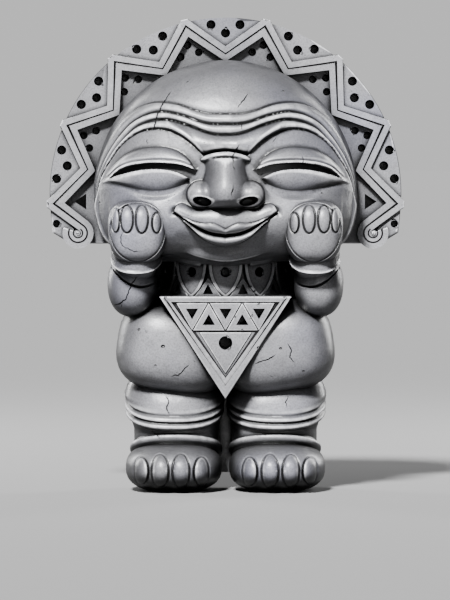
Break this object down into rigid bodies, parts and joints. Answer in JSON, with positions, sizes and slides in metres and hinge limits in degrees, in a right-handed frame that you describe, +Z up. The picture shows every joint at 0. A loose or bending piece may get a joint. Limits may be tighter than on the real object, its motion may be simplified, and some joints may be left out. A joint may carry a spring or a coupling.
{
  "type": "carved stone zemi figure",
  "caption": "Squat carved stone zemi: broad smiling head on folded arms, fan headdress with zigzag bands and volutes, leaf collar, triangular plate, ringed legs, wide feet.",
  "frame": {"origin": "middle of the bounding box, at the level of the soles", "axes": "X across the figure, to the viewer's right; -Y is where it faces; Z up"},
  "size_m": [0.3616, 0.1891, 0.476],
  "materials": {
    "stone": "satin"
  },
  "bodies": {
    "root": {"zemi_figure": "stone"}
  },
  "joints": []
}
